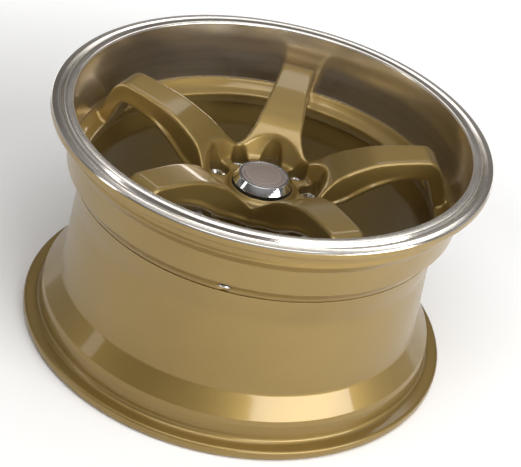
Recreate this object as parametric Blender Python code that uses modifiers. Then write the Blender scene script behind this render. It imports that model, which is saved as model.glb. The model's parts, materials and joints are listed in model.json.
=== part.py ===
"""Forged racing wheel rim, 18 x 10 in, lying flat with its face up.

The wheel axis is world Z and the inboard flange rests on z = 0.  Heights of the rim and the
centre are given in millimetres from the FACE plane, where the outboard flange is widest,
and are negative towards the hub side.  One spoke points along +Y, and the valve stands
between two spokes, at -Y.
"""

from math import cos, pi, radians, sin, sqrt, tan

import bmesh
import bpy
from mathutils import Matrix, Vector

MM = 0.001

# Overall sizes: the flanges and bead seats of an 18 x 10 J rim.
FLANGE_R = 248.5
FLANGE_HEIGHT = 17.5
BEAD_R = FLANGE_R - FLANGE_HEIGHT
FLANGE_SPAN = 272.4
FLANGE_CREST = 4.0
FACE = FLANGE_SPAN + FLANGE_CREST
JOINT_GAP = 0.3
ROUND_STEPS = 60

# J flange, the same on both sides: the tyre side is an arc, and a fillet meets the seat.
FLANGE_ARC_R = 9.0
SEAT_FILLET_R = 6.5
SEAT_TAPER = radians(5)
CREST_R = FLANGE_R - 16.5
GROOVE_R = FLANGE_R - 12.2

# Outer half: polished lip in front, tyre band behind.
LIP_TOP_R = BEAD_R - 6.9
LIP_LOW_R = BEAD_R - 13.5
LIP_DEPTH = 66.2
BAND_TOP_R = BEAD_R - 6.0
BAND_LOW_R = BEAD_R - 8.4
BAND_LOW = -70.4

# Inner half: well, cone and inboard flange.
WALL = 6.0
WELL_TOP_R = BEAD_R - 19.5
WELL_FLOOR_R = BEAD_R - 25.7
WELL_FLOOR = -121.0
WELL_LOW_R = BEAD_R - 20.7
CONE_TOP = 56.4 - FLANGE_SPAN
CONE_FOOT_R = BEAD_R - 3.4
CONE_FOOT = 35.2 - FLANGE_SPAN

# Centre: five spokes, hub and ring.
SPOKES = 5
RING_LOW = -88.0
SPIGOT_R = WELL_TOP_R - 5.3
SPIGOT_DEPTH = 5.5
RING_IN_R = SPIGOT_R - 6.8
SECTOR = 2 * pi / SPOKES
HALF_SECTOR = SECTOR / 2
HUB_CORE_TURN = 1.0
HUB_CUT_TURN = 2.2
BORE_CUT_TURN = 3.9
WINDOW_APEX = 71.3
WINDOW_R = 37.8
SPLIT_OUT = WINDOW_APEX * cos(HALF_SECTOR)
STRAIGHT_FROM = (WINDOW_APEX + WINDOW_R) * cos(HALF_SECTOR)
SPOKE_TOP_HALF = 26.3
SPOKE_END_HALF = 19.6
EDGE_R = 2.4
DRAFT = 0.35
LEDGE_DEPTH = 7.5
LEDGE_OUT = 2.6
LEDGE_FADE_FROM = 120.0
LEDGE_FADE_TO = 168.0

# Hub: recess, lug pockets and bore.
PAD = -116.2
LUG_CIRCLE_R = 57.15
PAD_R = LUG_CIRCLE_R + 10.85
FLOOR = -84.7
RECESS_LOW_R = 61.2
RECESS_TOP_R = 69.6
RECESS_TOP = -59.5
COLLAR_TOP = -79.7
CAP_BORE_R = 34.2
COLLAR_R = CAP_BORE_R + 1.6
HUB_BORE_R = CAP_BORE_R + 2.35
CAP_BORE_LOW = -87.0
LUGS = (("spoke", 12.7, 90.0), ("web", 10.4, 54.0))
SEAT_TOP = -95.0
SEAT_HEIGHT = 12.0
STUD_HOLE_R = 7.2
LUG_STEPS = 18
POCKET_FLOOR = SEAT_TOP - SEAT_HEIGHT - JOINT_GAP

# Centre cap.
CAP_STEPS = 36
CAP_TOP = -67.8
CAP_FLANGE_R = CAP_BORE_R + 0.4
CAP_FLANGE_TOP = -76.0
CAP_FLANGE_LOW = -77.3
CAP_TOP_R = CAP_FLANGE_R - 5.8
CAP_ROOF = 2.4
BADGE_R = CAP_TOP_R - 2.8
BADGE_THICK = 1.3
CAP_SKIRT_R = CAP_BORE_R - 0.5
CAP_SKIRT_LOW = -95.0
CAP_SKIRT_WALL = 3.4
SNAP_HEIGHT = -90.5
SNAP_WIRE_R = 0.9
SNAP_R = CAP_BORE_R + 0.2

# Valve: stands through the ring, leaning 30 degrees from the wheel axis towards the hub.
VALVE_TILT = radians(30)
STEM_R = 3.85
BOSS_R = STEM_R + 3.15
VALVE_AT = Vector((0.0, BOSS_R - 1.6 - LIP_LOW_R, FACE - 76.0))
VALVE_HOLE_R = STEM_R + 0.4
STEM_BORE_R = STEM_R - 1.45
STEM_TOP = 30.0
SEAL_R = VALVE_HOLE_R - 0.1
BOSS_TOP = 5.0
SPOT_FACE = -1.2
SPOT_R = STEM_R + 3.35
HEAD_R = SPOT_R - 0.7
HEAD_TOP = SPOT_FACE - 1.9
HEAD_LOW = HEAD_TOP - 2.2
NUT_R = BOSS_R - 0.1
CORE_R = STEM_BORE_R - JOINT_GAP
CORE_BORE_R = CORE_R - 0.6
CORE_TOP = 28.4
CORE_LEDGE = 18.0
CORE_LOW = 10.0
CORE_MOUTH_R = CORE_R - 1.1
PIN_R = CORE_MOUTH_R - 0.4
PIN_COLLAR_R = CORE_BORE_R - 0.2
PIN_HEAD_R = CORE_R - 0.4
PIN_HEAD_TOP = CORE_LOW - JOINT_GAP
SPRING_WIRE_R = 0.15
SPRING_TURNS = 5
DUST_CAP_FOOT = 14.6
DUST_CAP_ROOF = STEM_TOP + 1.6
VALVE_STEPS = 18
CORE_STEPS = 14
COIL_STEPS = 12


def material(name, colour, metallic, roughness):
    made = bpy.data.materials.new(name)
    made.use_nodes = True
    shader = made.node_tree.nodes["Principled BSDF"]
    shader.inputs["Base Color"].default_value = (*colour, 1.0)
    shader.inputs["Metallic"].default_value = metallic
    shader.inputs["Roughness"].default_value = roughness
    made.diffuse_color = (*colour, 1.0)
    return made


def collection(name, helper=False):
    made = bpy.data.collections.new(name)
    made.hide_render = helper
    bpy.context.scene.collection.children.link(made)
    return made


def add_object(name, mesh, into, surface=None):
    made = bpy.data.objects.new(name, mesh)
    into.objects.link(made)
    if surface:
        mesh.materials.append(surface)
    if into == cutters:
        made.hide_render = True
        made.display_type = "WIRE"
    return made


def revolve(name, outline, into, surface=None, steps=ROUND_STEPS, closed=True):
    """A Screw of an (r, z) outline in mm, which runs down its outer side from top to bottom."""
    mesh = bpy.data.meshes.new(name)
    links = [(i, i + 1) for i in range(len(outline) - 1)]
    if closed:
        links.append((len(outline) - 1, 0))
    mesh.from_pydata([(r * MM, 0, z * MM) for r, z in outline], links, [])
    made = add_object(name, mesh, into, surface)
    screw = made.modifiers.new("Revolve", "SCREW")
    screw.steps = screw.render_steps = steps
    screw.use_merge_vertices = True
    screw.merge_threshold = 1e-6
    return made


def boolean(target, operation, tool):
    made = target.modifiers.new(f"{operation.title()} {tool.name}", "BOOLEAN")
    made.operation = operation
    made.solver = "EXACT"
    made.object = tool


def settle(made, sharp=32):
    """Replaces the mesh by the evaluated one, shaded smooth up to the sharp angle."""
    bpy.context.view_layer.update()
    graph = bpy.context.evaluated_depsgraph_get()
    mesh = bpy.data.meshes.new_from_object(made.evaluated_get(graph))
    made.modifiers.clear()
    made.data = mesh
    mesh.name = made.name
    mesh.shade_smooth()
    mesh.set_sharp_from_angle(angle=radians(sharp))
    return made


def arc(centre_r, centre_z, radius, start, stop, steps):
    """Points on a circle in the (r, z) plane, by angle in degrees from +r towards +z."""
    turns = [radians(start + (stop - start) * i / steps) for i in range(steps + 1)]
    return [(centre_r + radius * cos(a), centre_z + radius * sin(a)) for a in turns]


def raised(outline, height=FACE):
    return [(r, z + height) for r, z in outline]


def blend(points, at):
    """Straight-line interpolation of (x, y) pairs, held at the ends."""
    if at <= points[0][0]:
        return points[0][1]
    for (x0, y0), (x1, y1) in zip(points, points[1:]):
        if at <= x1:
            return y0 + (y1 - y0) * (at - x0) / (x1 - x0)
    return points[-1][1]


def flange_side(seat_length):
    """Tyre side of the outboard flange, from its widest point down to the end of the seat."""
    rise_r = FLANGE_R - FLANGE_ARC_R
    seat_top = -FLANGE_ARC_R - SEAT_FILLET_R
    fillet_r = BEAD_R + SEAT_FILLET_R
    side = arc(rise_r, 0, FLANGE_ARC_R, -8, -90, 4)
    side += arc(fillet_r, seat_top, SEAT_FILLET_R, 90, 180, 3)
    side.append((BEAD_R - seat_length * tan(SEAT_TAPER), seat_top - seat_length))
    return side


def outer_half():
    """Lip with the polished front flange, ending in a square edge on the ring."""
    front = [
        (LIP_TOP_R, 2.6),
        (CREST_R - 4.0, FLANGE_CREST),
        (CREST_R + 1.5, FLANGE_CREST - 0.4),
        (GROOVE_R - 1.0, 0.8),
        (GROOVE_R, -0.4),
        (GROOVE_R + 1.2, 1.0),
        (FLANGE_R - 7.5, 1.9),
        (FLANGE_R - 2.2, 1.2),
    ]
    band = [
        (BEAD_R + 0.2, -29.2),
        (BEAD_R - 1.8, -33.2),
        (BAND_TOP_R, -40.0),
        (BAND_LOW_R, BAND_LOW),
    ]
    wall = [(LIP_LOW_R, BAND_LOW), (LIP_LOW_R, -LIP_DEPTH)]
    return front + flange_side(10.0) + band + wall


def inner_half():
    """Well, cone, inboard bead seat and flange, with a wall of even thickness."""
    top = RING_LOW - JOINT_GAP
    outside = [
        (WELL_TOP_R, top),
        (WELL_FLOOR_R + 0.5, WELL_FLOOR + 4.0),
        (WELL_FLOOR_R, WELL_FLOOR - 3.0),
        (WELL_LOW_R, CONE_TOP + 4.0),
        (WELL_LOW_R + 1.8, CONE_TOP - 2.0),
        (CONE_FOOT_R - 1.0, CONE_FOOT + 1.0),
        (CONE_FOOT_R + 0.7, CONE_FOOT - 1.4),
    ]
    flange = [(r, -FLANGE_SPAN - z) for r, z in reversed(flange_side(13.5))]
    foot = -FLANGE_SPAN - FLANGE_CREST
    under = [
        (FLANGE_R - 1.6, foot + 1.4),
        (FLANGE_R - 4.2, foot),
        (CREST_R + 1.0, foot),
        (CREST_R - 2.0, foot + 0.9),
        (BEAD_R - 4.0, foot + 5.0),
        (BEAD_R - WALL, foot + 16.0),
        (CONE_FOOT_R - WALL + 0.6, CONE_FOOT - 5.0),
        (WELL_LOW_R - WALL + 1.2, CONE_TOP - 4.0),
        (WELL_LOW_R - WALL, CONE_TOP + 3.0),
        (WELL_FLOOR_R - WALL, WELL_FLOOR - 2.0),
        (SPIGOT_R + JOINT_GAP, RING_LOW - SPIGOT_DEPTH - 2.0),
        (SPIGOT_R + JOINT_GAP, top),
    ]
    return outside + flange + under


def ring_outline():
    """The ring of the centre: a sloping web between the lip and the windows."""
    seat = LIP_LOW_R - JOINT_GAP
    under = BAND_LOW - JOINT_GAP
    return [
        (seat, -LIP_DEPTH - 0.4),
        (seat, under),
        (BAND_LOW_R - 0.5, under),
        (WELL_TOP_R + 3.0, -80.2),
        (WELL_TOP_R + 0.8, -84.4),
        (WELL_TOP_R + 0.1, RING_LOW),
        (SPIGOT_R, RING_LOW),
        (SPIGOT_R, RING_LOW - SPIGOT_DEPTH),
        (RING_IN_R + 1.6, RING_LOW - SPIGOT_DEPTH),
        (RING_IN_R, RING_LOW - SPIGOT_DEPTH + 1.6),
        (RING_IN_R, -84.6),
        (RING_IN_R + 1.2, -81.6),
        (RING_IN_R + 5.0, -78.7),
        (LIP_LOW_R - 8.9, -75.6),
        (LIP_LOW_R - 4.3, -71.0),
        (LIP_LOW_R - 1.7, -68.4),
    ]


# Where the front and the back of a spoke run, as (out from the axis, height) pairs.  The
# stretch past the windows' arcs is drawn for a ring of inside radius DRAWN_RING_R.
DRAWN_RING_R = 199.4
FRONT_PATH = (
    (36, -84.0),
    (48, -77.0),
    (SPLIT_OUT, -68.6),
    (60.5, -65.9),
    (64.5, -61.9),
    (69.5, -56.6),
    (77, -49.6),
    (STRAIGHT_FROM, -42.5),
    (98, -37.9),
    (108, -33.5),
    (120, -29.3),
    (134, -26.1),
    (151.5, -23.4),
    (169, -21.4),
    (181.4, -20.6),
    (187.4, -22.3),
    (193.0, -26.9),
    (198.0, -34.0),
    (202.6, -45.0),
    (206.4, -56.0),
    (209.4, -65.5),
    (212.4, -77.0),
)
BACK_PATH = (
    (36, -100.0),
    (48, -96.6),
    (SPLIT_OUT, -93.2),
    (60.5, -92.3),
    (64.5, -91.0),
    (69.5, -89.3),
    (77, -86.6),
    (STRAIGHT_FROM, -82.0),
    (98, -76.4),
    (107, -69.8),
    (118, -62.9),
    (131, -56.6),
    (146, -51.3),
    (162, -47.2),
    (173.5, -45.2),
    (177.8, -45.0),
    (181.0, -45.9),
    (183.6, -48.2),
    (186.4, -53.2),
    (190.2, -62.4),
    (193.6, -71.2),
    (202.0, -84.6),
)
SIDE_LINE = (
    (STRAIGHT_FROM, SPOKE_TOP_HALF),
    (99.4, 24.1),
    (124.3, 21.6),
    (149, 20.2),
    (174, SPOKE_END_HALF),
)


def stretched(path):
    """The path with its straight part fitted to the ring as it is."""
    scale = (RING_IN_R - STRAIGHT_FROM) / (DRAWN_RING_R - STRAIGHT_FROM)
    return [(out + max(0.0, out - STRAIGHT_FROM) * (scale - 1), height) for out, height in path]


def half_width(out):
    """Half the width of a spoke: to the neighbour in the hub, round the window, then tapering."""
    if out < SPLIT_OUT:
        return out * tan(HALF_SECTOR)
    if out < STRAIGHT_FROM:
        drop = sqrt(WINDOW_R**2 - (STRAIGHT_FROM - out) ** 2)
        return (WINDOW_APEX + WINDOW_R) * sin(HALF_SECTOR) - drop
    return blend(stretched(SIDE_LINE), out)


def spoke_section(front, back):
    """One section of a spoke: rounded front edges, flat sides, and a ledge at the back.

    No point passes the plane half-way to the neighbour.  In the hub they all lie on it.
    """
    run = Vector((front[0], 0, front[1]))
    depth_way = Vector((back[0], 0, back[1])) - run
    depth = depth_way.length
    depth_way.normalize()
    half = half_width(front[0])
    fade = blend(((LEDGE_FADE_FROM, 1.0), (LEDGE_FADE_TO, 0.0)), front[0])
    out = LEDGE_OUT * fade
    corner = EDGE_R * (1 - sqrt(0.5))
    side = [
        (half - EDGE_R, 0.0),
        (half - corner, corner),
        (half, EDGE_R),
        (half + DRAFT, depth - LEDGE_DEPTH),
        (half + DRAFT + out, depth - LEDGE_DEPTH + 0.4 + out * 0.9),
        (half + DRAFT + out, depth - 1.2),
        (half - 0.9 + out, depth),
    ]
    points = []
    for across, down in side:
        point = run + depth_way * down
        limit = point.x * tan(HALF_SECTOR)
        point.y = limit if front[0] < SPLIT_OUT else min(across, limit)
        points.append(point)
    return points + [Vector((p.x, -p.y, p.z)) for p in reversed(points)]


def on_split(points):
    return all(abs(abs(p.y) - p.x * tan(HALF_SECTOR)) < 1e-3 for p in points)


def star():
    """All five spokes as one loft along their hooked paths, meeting half-way between them."""
    paths = zip(stretched(FRONT_PATH), stretched(BACK_PATH))
    sections = [spoke_section(front, back) for front, back in paths]
    shape = bmesh.new()
    for i in range(SPOKES):
        place = Matrix.Rotation(radians(90) + i * SECTOR, 3, "Z")
        rows = []
        for section in sections:
            rows.append([shape.verts.new(place @ (p + Vector((0, 0, FACE))) * MM) for p in section])
        count = len(sections[0])
        for n in range(len(sections) - 1):
            for j in range(count):
                k = (j + 1) % count
                corners = [(n, j), (n, k), (n + 1, k), (n + 1, j)]
                is_side = j not in (count // 2 - 1, count - 1)
                if is_side and on_split([sections[row][at] for row, at in corners]):
                    continue
                shape.faces.new([rows[row][at] for row, at in corners])
        shape.faces.new(rows[0])
        shape.faces.new(rows[-1])
    bmesh.ops.remove_doubles(shape, verts=shape.verts, dist=1e-6)
    bmesh.ops.recalc_face_normals(shape, faces=shape.faces)
    mesh = bpy.data.meshes.new("star")
    shape.to_mesh(mesh)
    shape.free()
    return add_object("star", mesh, cutters)


def hub_core():
    """The thick middle of the hub, with the mounting pad as its lower face."""
    return [
        (0, -76.0),
        (60.0, -76.0),
        (63.0, -84.0),
        (PAD_R + 0.5, -90.1),
        (PAD_R, PAD + 1.5),
        (PAD_R - 1.5, PAD),
        (0, PAD),
    ]


def hub_cut():
    """What is turned away in front of the hub, leaving the collar round the cap."""
    return [
        (0, RECESS_TOP + 40.0),
        (RECESS_TOP_R + 14.0, RECESS_TOP + 40.0),
        (RECESS_TOP_R, RECESS_TOP),
        (RECESS_LOW_R + 0.6, FLOOR + 3.2),
        (RECESS_LOW_R - 0.7, FLOOR + 1.0),
        (RECESS_LOW_R - 3.2, FLOOR),
        (COLLAR_R + 5.4, FLOOR),
        (COLLAR_R + 3.4, FLOOR + 1.2),
        (COLLAR_R + 0.6, COLLAR_TOP - 0.6),
        (COLLAR_R, COLLAR_TOP),
        (0, COLLAR_TOP),
    ]


def bore_cut():
    return [
        (0, COLLAR_TOP + 10.0),
        (CAP_BORE_R, COLLAR_TOP + 10.0),
        (CAP_BORE_R, CAP_BORE_LOW),
        (HUB_BORE_R, CAP_BORE_LOW - 1.5),
        (HUB_BORE_R, PAD + 1.2),
        (HUB_BORE_R + 2.2, PAD - 1.0),
        (0, PAD - 1.0),
    ]


def turned(outline, turn):
    """A solid of the hub, turned a little so that no facet edge meets another's exactly."""
    made = revolve(outline.__name__, raised(outline()), cutters, closed=False)
    made.rotation_euler.z = radians(turn)
    return made


def lug_places():
    """Every lug seat as (name, pocket radius, place of its axis at height 0)."""
    for kind, pocket_r, first in LUGS:
        for i in range(SPOKES):
            turn = radians(first) + i * SECTOR
            place = Vector((cos(turn), sin(turn), 0)) * LUG_CIRCLE_R
            yield f"lug_seat_{kind}_{i + 1}", pocket_r, place


def lug_cut(pocket_r):
    return [
        (0, RECESS_TOP + 45.0),
        (pocket_r, RECESS_TOP + 45.0),
        (pocket_r, POCKET_FLOOR),
        (STUD_HOLE_R + 0.6, POCKET_FLOOR),
        (STUD_HOLE_R + 0.6, PAD - 1.0),
        (0, PAD - 1.0),
    ]


def lug_seat(pocket_r):
    """A pressed-in insert with a 60 degree cone for the nut."""
    outer = pocket_r - JOINT_GAP
    mouth = outer - 1.2
    cone = (mouth - STUD_HOLE_R) * sqrt(3)
    low = SEAT_TOP - SEAT_HEIGHT
    return [
        (mouth, SEAT_TOP),
        (outer - 0.4, SEAT_TOP),
        (outer, SEAT_TOP - 0.4),
        (outer, low),
        (STUD_HOLE_R, low),
        (STUD_HOLE_R, SEAT_TOP - cone),
    ]


def on_valve(made):
    made.location = VALVE_AT * MM
    made.rotation_euler = (-VALVE_TILT, 0, 0)
    return made


def tube(name, outer, inner, low, high, surface, into=None, steps=VALVE_STEPS):
    """A plain ring of the valve, between two heights along its axis."""
    outline = [(outer, high), (outer, low), (inner, low), (inner, high)]
    return on_valve(revolve(name, outline, into or wheel, surface, steps))


def rod(name, outline, surface, into=None, steps=VALVE_STEPS):
    """A stepped rod on the valve axis: each (height, radius) runs down to the next height."""
    points = [(0, outline[0][0])]
    for (high, radius), (low, _) in zip(outline, outline[1:]):
        points += [(radius, high), (radius, low)]
    points.append((0, outline[-1][0]))
    return on_valve(revolve(name, points, into or wheel, surface, steps, closed=False))


for old in list(bpy.data.objects):
    bpy.data.objects.remove(old)
wheel = collection("forged_wheel_rim")
cutters = collection("cutters", helper=True)

gold = (0.42, 0.29, 0.11)
polished = (0.78, 0.76, 0.73)
bright = (0.86, 0.87, 0.90)

# Rims and centre.
outer = revolve("outer_rim_half", raised(outer_half()), wheel,
                material("polished_lip", polished, 1.0, 0.22))
inner = revolve("inner_rim_half", raised(inner_half()), wheel,
                material("gold_barrel", gold, 0.7, 0.38))
centre = revolve("forged_centre", raised(ring_outline()), wheel,
                 material("gold_centre", gold, 0.7, 0.36))
boolean(centre, "UNION", star())
boolean(centre, "UNION", turned(hub_core, HUB_CORE_TURN))
boss = rod("valve_boss", [(BOSS_TOP, BOSS_R), (0.0, BOSS_R)], None, cutters, ROUND_STEPS // 2)
boolean(centre, "UNION", boss)
boolean(centre, "DIFFERENCE", turned(hub_cut, HUB_CUT_TURN))
boolean(centre, "DIFFERENCE", turned(bore_cut, BORE_CUT_TURN))
seat_steel = material("bare_seats", bright, 1.0, 0.25)
for name, pocket_r, place in lug_places():
    cut = revolve(f"{name}_cut", raised(lug_cut(pocket_r)), cutters, steps=LUG_STEPS, closed=False)
    cut.location = place * MM
    boolean(centre, "DIFFERENCE", cut)
    seat = revolve(name, lug_seat(pocket_r), wheel, seat_steel, steps=LUG_STEPS)
    seat.location = (place + Vector((0, 0, FACE))) * MM
    settle(seat)
hole_steps = [(20.0, VALVE_HOLE_R), (SPOT_FACE, SPOT_R), (-30.0, SPOT_R)]
boolean(centre, "DIFFERENCE", rod("valve_hole", hole_steps, None, cutters))
for made in (outer, inner, centre):
    settle(made)

# Centre cap, drawn from its own origin on the wheel axis at the top of the cap.
chrome = material("chrome_cap", bright, 1.0, 0.08)
cap_recess = CAP_TOP - BADGE_THICK - JOINT_GAP
skirt_in = CAP_SKIRT_R - CAP_SKIRT_WALL
groove = SNAP_WIRE_R + JOINT_GAP
cap_outline = [
    (0, cap_recess),
    (BADGE_R + JOINT_GAP, cap_recess),
    (BADGE_R + JOINT_GAP, CAP_TOP),
    (CAP_TOP_R - 0.5, CAP_TOP),
    (CAP_TOP_R + 0.2, CAP_TOP - 0.5),
    (CAP_FLANGE_R, CAP_FLANGE_TOP),
    (CAP_FLANGE_R, CAP_FLANGE_LOW),
    (CAP_SKIRT_R - 1.2, CAP_FLANGE_LOW),
    (CAP_SKIRT_R - 1.2, COLLAR_TOP - 0.3),
    (CAP_SKIRT_R, COLLAR_TOP - 1.2),
    (CAP_SKIRT_R, SNAP_HEIGHT + groove),
    (SNAP_R - SNAP_WIRE_R - JOINT_GAP, SNAP_HEIGHT + groove),
    (SNAP_R - SNAP_WIRE_R - JOINT_GAP, SNAP_HEIGHT - groove),
    (CAP_SKIRT_R, SNAP_HEIGHT - groove),
    (CAP_SKIRT_R, CAP_SKIRT_LOW + 1.0),
    (CAP_SKIRT_R - 1.0, CAP_SKIRT_LOW),
    (skirt_in, CAP_SKIRT_LOW),
    (skirt_in, cap_recess - CAP_ROOF - 1.6),
    (skirt_in - 2.0, cap_recess - CAP_ROOF),
    (0, cap_recess - CAP_ROOF),
]
cap_parts = (
    ("cap_body", cap_outline, chrome, False),
    ("cap_badge", [(0, CAP_TOP - 0.1), (BADGE_R - 0.3, CAP_TOP - 0.1), (BADGE_R, CAP_TOP - 0.4),
                   (BADGE_R, CAP_TOP - BADGE_THICK), (0, CAP_TOP - BADGE_THICK)],
     material("badge_plate", (0.27, 0.23, 0.21), 0.6, 0.4), False),
    ("cap_gasket", [(CAP_BORE_R + 0.5, CAP_FLANGE_LOW - JOINT_GAP),
                    (CAP_BORE_R + 0.5, COLLAR_TOP + JOINT_GAP),
                    (CAP_SKIRT_R - 0.9, COLLAR_TOP + JOINT_GAP),
                    (CAP_SKIRT_R - 0.9, CAP_FLANGE_LOW - JOINT_GAP)],
     material("gasket_rubber", (0.03, 0.03, 0.03), 0.0, 0.7), True),
    ("cap_snap_ring", arc(SNAP_R, SNAP_HEIGHT, SNAP_WIRE_R, 90, -210, 5),
     material("spring_wire", (0.45, 0.45, 0.46), 1.0, 0.35), True),
)
for name, outline, surface, closed in cap_parts:
    local = [(r, z - CAP_TOP) for r, z in outline]
    made = revolve(name, local, wheel, surface, steps=CAP_STEPS, closed=closed)
    made.location.z = (FACE + CAP_TOP) * MM
    settle(made)

# Valve: stem and head, seals, washer, nut, core and dust cap.  Heights run along its own axis.
rubber = material("valve_rubber", (0.02, 0.02, 0.02), 0.0, 0.6)
nickel = material("valve_metal", (0.72, 0.70, 0.66), 1.0, 0.25)
brass = material("core_brass", (0.75, 0.55, 0.25), 1.0, 0.3)
black = material("dust_cap_plastic", (0.03, 0.03, 0.032), 0.0, 0.45)
stem_outline = [
    (STEM_R - 0.4, STEM_TOP),
    (STEM_R, STEM_TOP - 0.5),
    (STEM_R, HEAD_TOP),
    (HEAD_R, HEAD_TOP),
    (HEAD_R, HEAD_LOW),
    (STEM_BORE_R, HEAD_LOW),
    (STEM_BORE_R, STEM_TOP),
]
on_valve(revolve("valve_stem", stem_outline, wheel, nickel, VALVE_STEPS))
tube("valve_seal_outer", HEAD_R, SEAL_R, HEAD_TOP + JOINT_GAP, SPOT_FACE - JOINT_GAP, rubber)
tube("valve_seal_inner", NUT_R, SEAL_R, BOSS_TOP + JOINT_GAP, BOSS_TOP + 2.0, rubber)
tube("valve_washer", NUT_R, SEAL_R, BOSS_TOP + 2.3, BOSS_TOP + 3.5, nickel)
nut = rod("valve_nut", [(BOSS_TOP + 9.0, NUT_R), (BOSS_TOP + 3.8, NUT_R)], nickel, steps=6)
boolean(nut, "DIFFERENCE", rod("nut_hole", [(BOSS_TOP + 10.0, SEAL_R), (BOSS_TOP, SEAL_R)], None, cutters))
core_outline = [
    (CORE_R, CORE_TOP),
    (CORE_R, CORE_LOW),
    (CORE_MOUTH_R, CORE_LOW),
    (CORE_MOUTH_R, CORE_LEDGE),
    (CORE_BORE_R, CORE_LEDGE),
    (CORE_BORE_R, CORE_TOP),
]
on_valve(revolve("valve_core", core_outline, wheel, brass, CORE_STEPS))
pin_steps = [
    (CORE_TOP + 1.0, PIN_R),
    (CORE_TOP - 1.8, PIN_COLLAR_R),
    (CORE_TOP - 2.6, PIN_R),
    (PIN_HEAD_TOP, PIN_HEAD_R),
    (PIN_HEAD_TOP - 1.7, PIN_R),
    (PIN_HEAD_TOP - 2.7, PIN_R),
]
rod("valve_core_pin", pin_steps, nickel, steps=CORE_STEPS)


def helix(name, radius, low, high, turns, wire_r, surface):
    """A closed-ended coil as a swept tube on the valve axis."""
    curve = bpy.data.curves.new(name, "CURVE")
    curve.dimensions = "3D"
    curve.bevel_depth = wire_r * MM
    curve.bevel_resolution = 0
    curve.use_fill_caps = True
    path = curve.splines.new("POLY")
    count = turns * COIL_STEPS + 1
    path.points.add(count - 1)
    for i in range(count):
        turn = 2 * pi * i / COIL_STEPS
        high_now = low + (high - low) * i / (count - 1)
        point = (radius * cos(turn), radius * sin(turn), high_now)
        path.points[i].co = (*(p * MM for p in point), 1.0)
    return on_valve(add_object(name, curve, wheel, surface))


spring_r = (PIN_R + CORE_BORE_R) / 2
spring_low = CORE_LEDGE + 2 * SPRING_WIRE_R
spring_high = CORE_TOP - 2.6 - 2 * SPRING_WIRE_R
helix("valve_core_spring", spring_r, spring_low, spring_high, SPRING_TURNS, SPRING_WIRE_R, nickel)
dust_bore_r = STEM_R + JOINT_GAP
dust_outline = [
    (0, DUST_CAP_ROOF + 1.6),
    (dust_bore_r, DUST_CAP_ROOF + 1.6),
    (dust_bore_r + 0.8, DUST_CAP_ROOF + 0.8),
    (dust_bore_r + 0.9, DUST_CAP_FOOT),
    (dust_bore_r, DUST_CAP_FOOT),
    (dust_bore_r, DUST_CAP_ROOF),
    (0, DUST_CAP_ROOF),
]
on_valve(revolve("dust_cap", dust_outline, wheel, black, VALVE_STEPS, closed=False))
cap_seal_low = STEM_TOP + JOINT_GAP
tube("dust_cap_seal", STEM_R, 1.9, cap_seal_low, DUST_CAP_ROOF - JOINT_GAP, rubber)
for made in list(wheel.objects):
    if made.name.startswith(("valve_", "dust_")) and made.type == "MESH":
        settle(made)
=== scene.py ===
# %% [markdown]
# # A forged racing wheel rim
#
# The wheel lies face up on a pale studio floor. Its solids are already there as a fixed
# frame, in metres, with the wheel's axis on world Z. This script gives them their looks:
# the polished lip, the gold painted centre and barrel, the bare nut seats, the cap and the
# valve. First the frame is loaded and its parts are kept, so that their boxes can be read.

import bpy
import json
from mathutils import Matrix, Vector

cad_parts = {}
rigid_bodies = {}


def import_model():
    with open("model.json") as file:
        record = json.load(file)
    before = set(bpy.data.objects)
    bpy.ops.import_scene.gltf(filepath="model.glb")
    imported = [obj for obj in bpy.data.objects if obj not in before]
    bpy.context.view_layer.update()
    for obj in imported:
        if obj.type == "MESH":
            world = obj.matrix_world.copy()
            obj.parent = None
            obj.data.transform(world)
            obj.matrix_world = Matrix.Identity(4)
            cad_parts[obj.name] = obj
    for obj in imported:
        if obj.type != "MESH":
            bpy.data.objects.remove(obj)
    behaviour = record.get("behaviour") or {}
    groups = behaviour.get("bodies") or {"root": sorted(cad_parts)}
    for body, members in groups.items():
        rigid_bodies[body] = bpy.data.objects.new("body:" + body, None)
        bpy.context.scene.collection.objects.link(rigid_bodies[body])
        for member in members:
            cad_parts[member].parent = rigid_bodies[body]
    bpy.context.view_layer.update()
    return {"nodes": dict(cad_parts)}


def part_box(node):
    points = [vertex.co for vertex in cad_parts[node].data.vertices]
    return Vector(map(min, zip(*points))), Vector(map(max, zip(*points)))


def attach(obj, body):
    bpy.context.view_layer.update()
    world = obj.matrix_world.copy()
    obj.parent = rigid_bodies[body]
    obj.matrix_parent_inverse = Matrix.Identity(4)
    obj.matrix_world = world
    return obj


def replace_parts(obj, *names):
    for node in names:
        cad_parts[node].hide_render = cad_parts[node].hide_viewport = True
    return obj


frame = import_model()

# %% [markdown]
# Everything below is written in millimetres and turned into Blender's metres by `MM`. Meshes
# are made with bmesh operators, and `tan`, `sin` and `cos` place what stands at an angle.

# %% Tools used below
import json
from math import cos, pi, radians, sin, sqrt, tan

import bmesh
import bpy
from mathutils import Matrix, Vector

MM = 0.001
SCENE = bpy.context.scene

# %% [markdown]
# ## The camera
#
# A long lens from about two metres keeps the round shapes calm. The camera leans sideways by
# about 13 degrees, so the wheel seems to tip over. Its turn is written as three unit vectors,
# because a rolled camera is easier to read that way than as three angles.

# %% Camera
CAMERA_AT = Vector((0.12027, -1.71718, 1.25450))
CAMERA_RIGHT = Vector((0.96616, 0.18155, 0.18324))
CAMERA_UP = Vector((-0.25238, 0.51852, 0.81697))
CAMERA_BACK = Vector((0.05330, -0.83557, 0.54679))
LENS_MM = 123.41

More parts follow.
